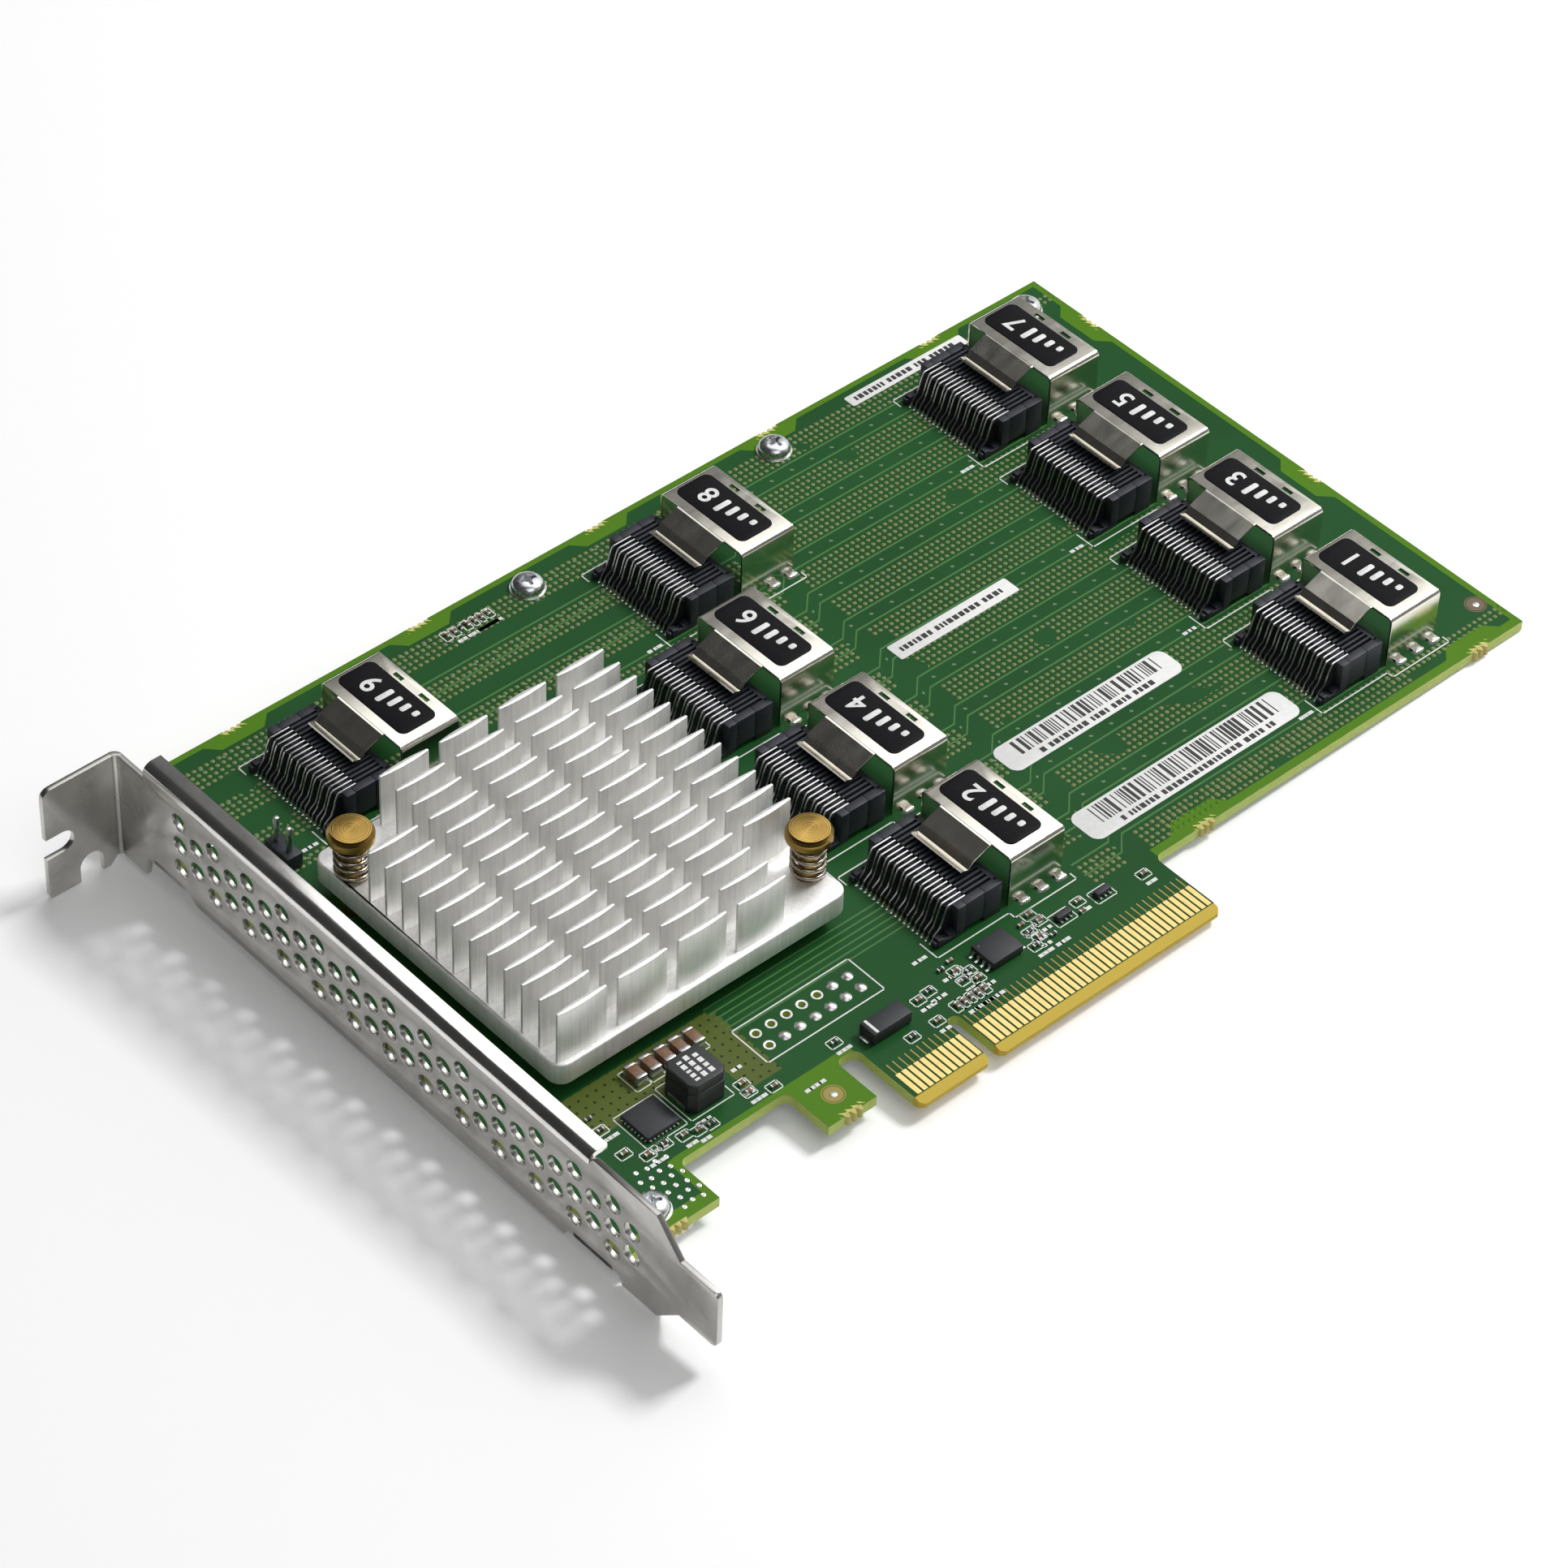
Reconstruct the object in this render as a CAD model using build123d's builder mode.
# Full-height, half-length storage expander card with nine four-lane ports, in millimetres.
# The origin is the middle of the key notch, at the free end of the edge connector, on the component face.
# X runs from the bracket to the far end, Y from the edge connector to the top edge, Z off the
# component face.
import os
from math import cos, pi, sin

from build123d import *

os.makedirs("parts", exist_ok=True)

# Circuit board
board_thickness = 1.57
board_left = -55.2
board_right = 108.7
board_top = 106.65
body_low = 12.1
ear_right = -41.3
ear_low = 4.6
prong_left = -23.8
prong_right = -15.9
prong_low = 4.5
tongue_left = -12.5
tongue_right = 39.15
tongue_corner = 0.6
key_width = 1.9
key_depth = 8.4
inner_corner = 1.2
bevel_run = 1.4
bevel_drop = 0.45
key_flat = 0.1
corner_reach = 0.1
cut_over = 1.0
solder_face = -board_thickness

# Break-off points, where the board was held in its panel by drilled tabs
bite_run = 2.9
bite_depth = 0.35
bites_along_x = (
    (-35.7, board_top), (-4.5, board_top), (25.9, board_top), (57.6, board_top), (87.8, board_top),
    (100.3, body_low), (48.6, body_low), (-19.7, prong_low), (-47.8, ear_low),
)
bites_along_y = ((board_right, 94.9), (board_right, 51.2))

# Spare header holes beside the heat sink
header_pitch = 2.54
header_columns = 7
header_rows = 2
header_centre = (-12.57, 20.6)
header_hole_radius = 0.5

# Edge contacts, eleven before the key notch and thirty-eight after it
contact_pitch = 1.0
finger_width = 0.7
finger_low = 1.5
finger_high = 5.6
finger_thickness = 0.05
fingers_before_key = 11
fingers_after_key = 38
key_to_finger = 1.5

# Bracket
sheet = 0.86
bracket_face = -57.15
bracket_inside = bracket_face + sheet
bracket_low = -3.5
bracket_neck_low = solder_face - sheet
plain_edge = 13.9
lip_top = 14.0
lip_radius = 2.0
lip_reach = -54.2
lip_start = 10.2
lip_end = 96.2
tab_tip = -12.8
tab_corner = 0.7
tab_low = 0.0
tab_high = 9.3
tab_shoulder = -6.1
taper_start = -2.2
flange_seat = 102.0
flange_low = -6.9
flange_high = 11.6
flange_depth = 11.3
flange_corner = 1.4
flange_foot = 1.2
step_run = 0.6
neck_from_seat = 5.2
slot_middle = 1.7
slot_width = 3.4
slot_depth = 4.3
relief_middle = -61.8
relief_width = 3.6
relief_top = -2.8
vent_across = 2.8
hole_sides = 6
vent_pitch = 4.0
vent_columns = 26
vent_first = 89.0
vent_low = 1.2
ear_reach = -44.6
ear_spans = ((4.6, 14.0), (87.4, 96.0))

# Screws
screw_sides = 12
screw_radius = 1.45
screw_hole_radius = 1.6
screw_head_radius = 2.3
screw_head_height = 1.6
screw_head_wall = 0.7
screw_head_slope = 40
screw_end = 1.3
bracket_screws_at = ((-48.7, 8.4), (-48.7, 91.8))
edge_screws_at = ((11.1, 102.75), (55.3, 102.75), (103.2, 102.75))
nut_across = 5.5
nut_height = 2.2

# Expander chip, thermal pad and heat sink
chip_side = 31.0
chip_height = 2.2
chip_corner = 0.8
pad_side = 27.0
pad_height = 0.4
sink_centre = (-22.5, 52.4)
sink_length = 47.6
sink_width = 48.0
sink_corner = 2.0
sink_base = 3.5
sink_bottom = chip_height + pad_height
sink_floor = sink_bottom + sink_base
fin_height = 8.3
fin_length = 7.75
fin_thickness = 0.92
fin_tip = 0.35
fin_columns = 5
fin_rows = 15
fins_left_out = 3
fin_edge_x = 0.685
fin_edge_y = 0.74
fin_column_pitch = (sink_length - 2 * fin_edge_x - fin_length) / (fin_columns - 1)
fin_row_pitch = (sink_width - 2 * fin_edge_y - fin_thickness) / (fin_rows - 1)

# Push pins and their springs
pin_from_end = 2.05
pin_from_side = 5.75
pin_radius = 1.3
pin_hole_radius = 1.6
pin_head_radius = 3.1
pin_face_radius = 2.65
pin_top = 14.0
pin_rim = 13.4
pin_head_low = 12.3
pin_barb_radius = 1.95
pin_barb_height = 1.2
pin_barb_gap = 0.15
pin_tip_radius = 1.5
spring_radius = 2.0
spring_wire = 0.4
spring_turns = 4
spring_steps = 8
spring_seat = 0.3

# Ports: places are the corner of each cage nearest the bracket and the edge connector
port_row = 21.55
port_first_row = 17.8
far_column = 88.1
middle_column = 18.85
port_places = {
    1: (far_column, port_first_row),
    2: (middle_column, port_first_row),
    3: (far_column, port_first_row + port_row),
    4: (middle_column, port_first_row + port_row),
    5: (far_column, port_first_row + 2 * port_row),
    6: (middle_column, port_first_row + 2 * port_row),
    7: (far_column, port_first_row + 3 * port_row),
    8: (31.2, port_first_row + 3 * port_row),
    9: (-26.65, port_first_row + 3 * port_row),
}
cage_length = 9.3
cage_width = 16.56
cage_height = 8.1
cage_sheet = 0.35
cage_corner = 0.6
window_length = 0.65
window_width = 1.75
window_from_mouth = 0.8
window_spacing = 5.2
leaf_width = 9.3
leaf_crease = (-3.0, -1.15)
leaf_trough = (-3.9, -2.2)
leaf_lift = (-5.0, -1.75)
leaf_sheet = 0.3
leaf_clearance = 0.4
housing_back = -9.0
housing_front = -1.2
housing_height = cage_height + leaf_trough[1] - leaf_sheet - leaf_clearance
card_slot_width = 12.4
card_slot_height = 1.3
card_slot_depth = 5.0
card_slot_middle = 2.6
standoff_height = 0.8
standoff_from = -7.6
standoff_to = -4.4
foot_back = -12.4
foot_width = 1.1
foot_height = 1.3
port_contacts = 18
port_contact_pitch = 0.8
port_contact_width = 0.32
port_contact_sheet = 0.16
contact_front = -6.7
contact_shoulder = -9.7
contact_toe = -12.1
contact_foot = 0.24
sticker_length = 6.0
sticker_width = 13.7
sticker_corner = 0.7
sticker_shift = (-0.15, 0.45)
sticker_thickness = 0.1

# Power supply beside the bracket
inductor_size = (6.0, 6.0, 4.6)
inductor_at = (-32.3, 19.4)
inductor_corner = 0.5
inductor_edge = 0.3
controller_size = (5.6, 5.5, 0.9)
controller_at = (-39.6, 19.2)
capacitor_size = (1.6, 2.9, 1.6)
capacitor_row_at = (-31.75, 25.7)
capacitor_spacing = 2.33
capacitors = 5

# Small parts
memory_size = (3.4, 4.2, 1.2)
memory_at = (12.0, 12.7)
memory_gap = 0.2
lead_pitch = 1.0
lead_width = 0.35
lead_run = 0.9
leads_per_side = 4
diode_size = (4.2, 2.8, 2.0)
diode_at = (-7.4, 12.2)
diode_lead = (1.1, 1.6, 0.5)
logic_size = (2.4, 1.4, 0.9)
logic_at = ((22.7, 11.9), (29.4, 11.7))
jumper_at = (-45.6, 83.0)
jumper_base = (2.5, 5.0, 2.5)
jumper_pin = 0.64
jumper_pin_top = 6.6
passive_size = (1.0, 0.55, 0.45)
passives_at = (
    (0.9, 13.3), (-1.1, 13.0), (-1.7, 8.9), (-5.9, 8.9), (-13.9, 14.4), (4.5, 15.0), (5.8, 13.8),
    (7.2, 12.7), (6.4, 15.4), (5.6, 11.9), (7.2, 11.0), (19.6, 14.9), (20.0, 13.4), (17.6, 14.2),
    (17.7, 12.7), (18.1, 11.4), (16.6, 10.4), (19.6, 10.4), (25.3, 11.0), (26.0, 12.6), (35.9, 10.8),
    (-27.3, 15.1), (-24.4, 13.8), (-34.3, 14.1), (-36.1, 14.3), (-38.0, 14.8), (-40.7, 15.3), (-43.4, 15.2),
    (-45.5, 17.2), (-45.2, 24.2), (-45.2, 21.9), (-27.1, 16.6),
)
resistor_row_at = (4.2, 9.2)
resistors_in_row = 5
top_row_at = (0.2, 102.2)
parts_in_top_row = 7
passive_spacing = 1.15

# Paper labels: centre, length and width
label_thickness = 0.08
label_corner = 0.8
square_labels = (((50.5, 61.55), (21.6, 3.1)), ((81.0, 103.6), (22.0, 2.2)))
cut_labels_at = (((51.8, 37.1), (31.2, 5.2)), ((54.4, 21.5), (38.0, 5.7)))

lowest = (Align.CENTER, Align.CENTER, Align.MIN)


def side_plane(x, y):
    """A plane across Y whose sketch reads as X and Z."""
    return Plane(origin=(x, y, 0), x_dir=(1, 0, 0), z_dir=(0, -1, 0))


def save(builder, name):
    """Label a finished piece and write it."""
    builder.part.label = name
    export_step(builder.part, f"parts/{name}.step")


pins_at = [
    (
        sink_centre[0] + side * (sink_length / 2 - pin_from_end),
        sink_centre[1] - side * (sink_width / 2 - pin_from_side),
    )
    for side in (-1, 1)
]

# Circuit board, routed in one piece with a bevelled tongue
with BuildPart() as board:
    with BuildSketch() as outline:
        with BuildLine():
            Polyline(
                (board_left, ear_low), (ear_right, ear_low), (ear_right, body_low),
                (prong_left, body_low), (prong_left, prong_low), (prong_right, prong_low),
                (prong_right, body_low), (tongue_left, body_low), (tongue_left, 0),
                (-key_width / 2, 0), (-key_width / 2, key_depth), (key_width / 2, key_depth),
                (key_width / 2, 0), (tongue_right, 0), (tongue_right, body_low),
                (board_right, body_low), (board_right, board_top), (board_left, board_top),
                close=True,
            )
        make_face()
        corners = outline.vertices()
        chamfer(corners.filter_by_position(Axis.Y, -corner_reach, corner_reach), tongue_corner)
        inner = outline.vertices().filter_by_position(
            Axis.Y, body_low - corner_reach, body_low + corner_reach
        )
        fillet(inner.sort_by(Axis.X)[:-1], inner_corner)
        key_top = outline.vertices().filter_by_position(
            Axis.Y, key_depth - corner_reach, key_depth + corner_reach
        )
        fillet(key_top, (key_width - key_flat) / 2)
        with Locations(*bracket_screws_at, *edge_screws_at):
            RegularPolygon(screw_hole_radius, screw_sides, mode=Mode.SUBTRACT)
        with Locations(*pins_at):
            RegularPolygon(pin_hole_radius, screw_sides, mode=Mode.SUBTRACT)
        with Locations(header_centre):
            with GridLocations(header_pitch, header_pitch, header_columns, header_rows):
                RegularPolygon(header_hole_radius, hole_sides, mode=Mode.SUBTRACT)
        with Locations(*bites_along_x):
            Rectangle(bite_run, 2 * bite_depth, mode=Mode.SUBTRACT)
        with Locations(*bites_along_y):
            Rectangle(2 * bite_depth, bite_run, mode=Mode.SUBTRACT)
    extrude(amount=-board_thickness)
    with BuildSketch(Plane.YZ.offset(tongue_left - cut_over)):
        with BuildLine():
            Polyline((0, 0), (bevel_run, 0), (0, -bevel_drop), close=True)
        make_face()
        with BuildLine():
            Polyline((0, solder_face), (bevel_run, solder_face), (0, solder_face + bevel_drop), close=True)
        make_face()
    extrude(amount=tongue_right - tongue_left + 2 * cut_over, mode=Mode.SUBTRACT)
save(board, "circuit_board")

# Gold contacts on both faces of the tongue
fingers_x = [-key_to_finger - i * contact_pitch for i in range(fingers_before_key)]
fingers_x += [key_to_finger + i * contact_pitch for i in range(fingers_after_key)]
with BuildPart() as edge_contacts:
    for face, growth in ((0, finger_thickness), (solder_face, -finger_thickness)):
        with BuildSketch(Plane.XY.offset(face)):
            with Locations(*[(x, (finger_low + finger_high) / 2) for x in fingers_x]):
                Rectangle(finger_width, finger_high - finger_low)
        extrude(amount=growth)
save(edge_contacts, "edge_contacts")

# Bracket, folded from one sheet: face, rolled lip, screw flange and two ears under the board
neck_y = flange_seat - neck_from_seat
with BuildPart() as bracket:
    with BuildSketch(Plane.YZ.offset(bracket_face)):
        with BuildLine():
            Polyline(
                (flange_seat + sheet, flange_high), (lip_end, flange_high),
                (lip_end, lip_top - lip_radius), (lip_start, lip_top - lip_radius),
                (lip_start - step_run, plain_edge), (taper_start, plain_edge), (tab_shoulder, tab_high),
                (tab_tip + tab_corner, tab_high), (tab_tip, tab_high - tab_corner),
                (tab_tip, tab_low + tab_corner), (tab_tip + tab_corner, tab_low), (tab_shoulder, tab_low),
                (taper_start, bracket_low), (ear_spans[0][0] - step_run, bracket_low),
                (ear_spans[0][0], bracket_neck_low), (ear_spans[0][1], bracket_neck_low),
                (ear_spans[0][1] + step_run, bracket_low), (ear_spans[1][0] - 2 * step_run, bracket_low),
                (ear_spans[1][0], bracket_neck_low), (neck_y - step_run, bracket_neck_low),
                (neck_y, flange_low + flange_foot), (flange_seat + sheet, flange_low + flange_foot),
                close=True,
            )
        make_face()
        with Locations(*[
            (vent_first - i * vent_pitch * 3**0.5 / 2, vent_low + vent_pitch * (row + i % 2 / 2))
            for i in range(vent_columns)
            for row in range(3 - i % 2)
        ]):
            RegularPolygon(vent_across / 2, hole_sides, rotation=90, mode=Mode.SUBTRACT)
    extrude(amount=sheet)
    bend = (bracket_face + lip_radius, lip_top - lip_radius)
    with BuildSketch(side_plane(0, lip_end)):
        with BuildLine():
            outer_bend = CenterArc(bend, lip_radius, 180, -90)
            Polyline(
                outer_bend @ 1, (lip_reach, lip_top), (lip_reach, lip_top - sheet), (bend[0], lip_top - sheet),
            )
            inner_bend = CenterArc(bend, lip_radius - sheet, 90, 90)
            Line(inner_bend @ 1, outer_bend @ 0)
        make_face()
    extrude(amount=lip_end - lip_start)
    flange_end = bracket_face - flange_depth
    with BuildSketch(side_plane(0, flange_seat)) as flange:
        with BuildLine():
            Polyline(
                (bracket_inside, flange_low + flange_foot), (bracket_inside, flange_high),
                (flange_end + flange_corner, flange_high), (flange_end, flange_high - flange_corner),
                (flange_end, flange_low + step_run), (flange_end + step_run, flange_low),
                (bracket_face - flange_foot - step_run, flange_low),
                (bracket_face - step_run, flange_low + flange_foot),
                close=True,
            )
        make_face()
        with Locations((flange_end, slot_middle)):
            Rectangle(2 * slot_depth - slot_width, slot_width, mode=Mode.SUBTRACT)
        with Locations((flange_end + slot_depth - slot_width / 2, slot_middle)):
            Circle(slot_width / 2, mode=Mode.SUBTRACT)
        relief_round = relief_top - relief_width / 2
        with Locations((relief_middle, (flange_low + relief_round) / 2)):
            Rectangle(relief_width, relief_round - flange_low, mode=Mode.SUBTRACT)
        with Locations((relief_middle, relief_round)):
            Circle(relief_width / 2, mode=Mode.SUBTRACT)
    extrude(amount=-sheet)
    for (low, high), place in zip(ear_spans, bracket_screws_at):
        with BuildSketch(Plane.XY.offset(solder_face)):
            with Locations(((bracket_face + ear_reach) / 2, (low + high) / 2)):
                Rectangle(ear_reach - bracket_face, high - low)
            with Locations(place):
                RegularPolygon(screw_hole_radius, screw_sides, mode=Mode.SUBTRACT)
        extrude(amount=-sheet)
save(bracket, "bracket")

# Pan-head screws: two hold the board to the bracket's ears, three stand along the top edge
for name, places, reach in (
    ("bracket_screws", bracket_screws_at, board_thickness + sheet + screw_end),
    ("board_edge_screws", edge_screws_at, board_thickness + nut_height),
):
    with BuildPart() as screws:
        for foot, radius, growth, taper in (
            (0, screw_radius, -reach, 0),
            (0, screw_head_radius, screw_head_wall, 0),
            (screw_head_wall, screw_head_radius, screw_head_height - screw_head_wall, screw_head_slope),
        ):
            with BuildSketch(Plane.XY.offset(foot)):
                with Locations(*places):
                    RegularPolygon(radius, screw_sides)
            extrude(amount=growth, taper=taper)
    save(screws, name)

# Nuts behind the screws of the top edge
with BuildPart() as edge_nuts:
    with BuildSketch(Plane.XY.offset(solder_face)):
        with Locations(*edge_screws_at):
            RegularPolygon(nut_across / 2, 6, major_radius=False)
            RegularPolygon(screw_hole_radius, screw_sides, mode=Mode.SUBTRACT)
    extrude(amount=-nut_height)
save(edge_nuts, "board_edge_nuts")

# Expander chip and the pad that carries its heat
with BuildPart() as chip:
    with Locations(sink_centre):
        Box(chip_side, chip_side, chip_height, align=lowest)
    chamfer(chip.edges().filter_by(Axis.Z), chip_corner)
save(chip, "expander_chip")
with BuildPart() as thermal_pad:
    with Locations((*sink_centre, chip_height)):
        Box(pad_side, pad_side, pad_height, align=lowest)
save(thermal_pad, "thermal_pad")

# Heat sink, forged in one piece, with three fins left out at each push pin
with BuildPart() as heat_sink:
    with BuildSketch(Plane.XY.offset(sink_bottom)):
        with Locations(sink_centre):
            RectangleRounded(sink_length, sink_width, sink_corner)
        with Locations(*pins_at):
            RegularPolygon(pin_hole_radius, screw_sides, mode=Mode.SUBTRACT)
    extrude(amount=sink_base)
    with BuildSketch(mode=Mode.PRIVATE) as lens:
        with BuildLine():
            Polyline(
                (-fin_length / 2, -fin_tip / 2), (0, -fin_thickness / 2), (fin_length / 2, -fin_tip / 2),
                (fin_length / 2, fin_tip / 2), (0, fin_thickness / 2), (-fin_length / 2, fin_tip / 2),
                close=True,
            )
        make_face()
    fin_places = [
        (
            sink_centre[0] + (column - (fin_columns - 1) / 2) * fin_column_pitch,
            sink_centre[1] + (row - (fin_rows - 1) / 2) * fin_row_pitch,
        )
        for column in range(fin_columns)
        for row in range(fin_rows)
        if not (column == 0 and row >= fin_rows - fins_left_out)
        and not (column == fin_columns - 1 and row < fins_left_out)
    ]
    with BuildSketch(Plane.XY.offset(sink_floor)):
        with Locations(*fin_places):
            add(lens.sketch)
    extrude(amount=fin_height)
save(heat_sink, "heat_sink")

# Push pins, turned from brass, with a barb under the board, and the coil springs that pull them up
for number, (x, y) in enumerate(pins_at, 1):
    barb_top = solder_face - pin_barb_gap
    with BuildPart() as pin:
        with BuildSketch(side_plane(x, y)):
            with BuildLine():
                Polyline(
                    (0, barb_top - pin_barb_height), (pin_tip_radius, barb_top - pin_barb_height),
                    (pin_barb_radius, barb_top), (pin_radius, barb_top), (pin_radius, pin_head_low),
                    (pin_head_radius, pin_head_low), (pin_head_radius, pin_rim), (pin_face_radius, pin_top),
                    (0, pin_top),
                    close=True,
                )
            make_face()
        revolve(axis=Axis((x, y, 0), (0, 0, 1)))
    save(pin, f"push_pin_{number}")
    spring_low = sink_floor + spring_seat
    spring_height = pin_head_low - spring_seat - spring_low
    with BuildPart() as spring:
        with BuildLine() as coil:
            Polyline(*[
                (
                    x + spring_radius * cos(2 * pi * i / spring_steps),
                    y + spring_radius * sin(2 * pi * i / spring_steps),
                    spring_low + spring_height * i / (spring_steps * spring_turns),
                )
                for i in range(spring_steps * spring_turns + 1)
            ])
        with BuildSketch(Plane(origin=coil.line @ 0, x_dir=(1, 0, 0), z_dir=coil.line % 0)):
            Rectangle(spring_wire, spring_wire)
        sweep(transition=Transition.RIGHT)
    save(spring, f"pin_spring_{number}")

# Ports: housing, contacts, cage and sticker, each at its own place on the board
for number, (x, y) in port_places.items():
    middle = y + cage_width / 2
    with BuildPart() as housing:
        with BuildSketch(side_plane(x, y)):
            with Locations(((housing_back + housing_front) / 2, housing_height / 2)):
                Rectangle(housing_front - housing_back, housing_height)
            with Locations(((standoff_from + standoff_to) / 2, standoff_height / 2)):
                Rectangle(standoff_to - standoff_from, standoff_height, mode=Mode.SUBTRACT)
        extrude(amount=-cage_width)
        front = (x + housing_front, middle, card_slot_middle)
        with BuildSketch(Plane(origin=front, x_dir=(0, 1, 0), z_dir=(1, 0, 0))):
            Rectangle(card_slot_width, card_slot_height)
        extrude(amount=-card_slot_depth, mode=Mode.SUBTRACT)
        foot_middle = x + (foot_back + housing_back) / 2
        for foot_y in (y + foot_width / 2, y + cage_width - foot_width / 2):
            with Locations((foot_middle, foot_y)):
                Box(housing_back - foot_back, foot_width, foot_height, align=lowest)
    save(housing, f"port_{number}_housing")

    first_contact = middle - (port_contacts - 1) * port_contact_pitch / 2
    contact_planes = [side_plane(x, first_contact + i * port_contact_pitch) for i in range(port_contacts)]
    with BuildPart() as contacts:
        with BuildSketch(*contact_planes):
            with BuildLine():
                Polyline(
                    (contact_front, housing_height), (contact_shoulder, housing_height),
                    (contact_toe, 0), (contact_toe - contact_foot, 0),
                    (contact_shoulder - port_contact_sheet, housing_height + port_contact_sheet),
                    (contact_front, housing_height + port_contact_sheet),
                    close=True,
                )
            make_face()
        extrude(amount=port_contact_width / 2, both=True)
    save(contacts, f"port_{number}_contacts")

    roof_under = cage_height - cage_sheet
    with BuildPart() as cage:
        with BuildSketch(Plane(origin=(x, middle, 0), x_dir=(0, 1, 0), z_dir=(1, 0, 0))) as arch:
            with Locations((0, cage_height / 2)):
                Rectangle(cage_width, cage_height)
            chamfer(arch.vertices().group_by(Axis.Z)[-1], cage_corner)
            with Locations((0, roof_under / 2)):
                Rectangle(cage_width - 2 * cage_sheet, roof_under, mode=Mode.SUBTRACT)
        extrude(amount=cage_length)
        with BuildSketch(Plane.XY.offset(cage_height)):
            with Locations((x + cage_length - window_from_mouth - window_length / 2, middle)):
                with GridLocations(0, window_spacing, 1, 2):
                    Rectangle(window_length, window_width)
        extrude(amount=-cage_sheet, mode=Mode.SUBTRACT)
        leaf = ((0, 0), leaf_crease, leaf_trough, leaf_lift)
        upper = [(run, cage_height + drop) for run, drop in leaf]
        with BuildSketch(side_plane(x, middle)):
            with BuildLine():
                lower = [(run, height - leaf_sheet) for run, height in reversed(upper)]
                Polyline(*upper, *lower, close=True)
            make_face()
        extrude(amount=leaf_width / 2, both=True)
    save(cage, f"port_{number}_cage")

    with BuildPart() as sticker:
        with BuildSketch(Plane.XY.offset(cage_height)) as print_area:
            with Locations((x + cage_length / 2 + sticker_shift[0], middle + sticker_shift[1])):
                Rectangle(sticker_length, sticker_width)
            chamfer(print_area.vertices(), sticker_corner)
        extrude(amount=sticker_thickness)
    save(sticker, f"port_{number}_sticker")

# Power supply: moulded inductor, controller chip and ceramic capacitors
with BuildPart() as inductor:
    with Locations(inductor_at):
        Box(*inductor_size, align=lowest)
    chamfer(inductor.edges().filter_by(Axis.Z), inductor_corner)
    chamfer(inductor.faces().sort_by(Axis.Z)[-1].edges(), inductor_edge)
save(inductor, "power_inductor")
with BuildPart() as controller:
    with Locations(controller_at):
        Box(*controller_size, align=lowest)
save(controller, "power_controller")
with BuildPart() as capacitor_group:
    with Locations(capacitor_row_at):
        with GridLocations(capacitor_spacing, 0, capacitors, 1):
            Box(*capacitor_size, align=lowest)
save(capacitor_group, "ceramic_capacitors")

# Memory chip on eight leads
with BuildPart() as memory:
    with Locations((*memory_at, memory_gap)):
        Box(*memory_size, align=lowest)
    for side in (-1, 1):
        with Locations((memory_at[0] + side * (memory_size[0] + lead_run) / 2, memory_at[1])):
            with GridLocations(0, lead_pitch, 1, leads_per_side):
                Box(lead_run, lead_width, memory_gap + memory_size[2] / 2, align=lowest)
save(memory, "memory_chip")

# Diode with folded end leads, two small logic chips and the spare jumper header
with BuildPart() as diode:
    with Locations(diode_at):
        Box(*diode_size, align=lowest)
        with GridLocations(diode_size[0] + diode_lead[0], 0, 2, 1):
            Box(*diode_lead, align=lowest)
save(diode, "diode")
with BuildPart() as logic:
    with Locations(*logic_at):
        Box(*logic_size, align=lowest)
save(logic, "logic_chips")
with BuildPart() as jumper:
    with Locations(jumper_at):
        Box(*jumper_base, align=lowest)
        with GridLocations(0, header_pitch, 1, 2):
            Box(jumper_pin, jumper_pin, jumper_pin_top, align=lowest)
save(jumper, "jumper_header")

# Small resistors and capacitors
with BuildPart() as passives:
    with Locations(*passives_at):
        Box(*passive_size, align=lowest)
    for place, count in ((resistor_row_at, resistors_in_row), (top_row_at, parts_in_top_row)):
        with Locations(place):
            with GridLocations(passive_spacing, 0, count, 1):
                Box(passive_size[1], passive_size[0], passive_size[2], align=lowest)
save(passives, "chip_passives")

# Paper labels
with BuildPart() as labels:
    with BuildSketch():
        for place, size in square_labels:
            with Locations(place):
                Rectangle(*size)
    extrude(amount=label_thickness)
    with BuildSketch() as cut_labels:
        for place, size in cut_labels_at:
            with Locations(place):
                Rectangle(*size)
        chamfer(cut_labels.vertices(), label_corner)
    extrude(amount=label_thickness)
save(labels, "paper_labels")
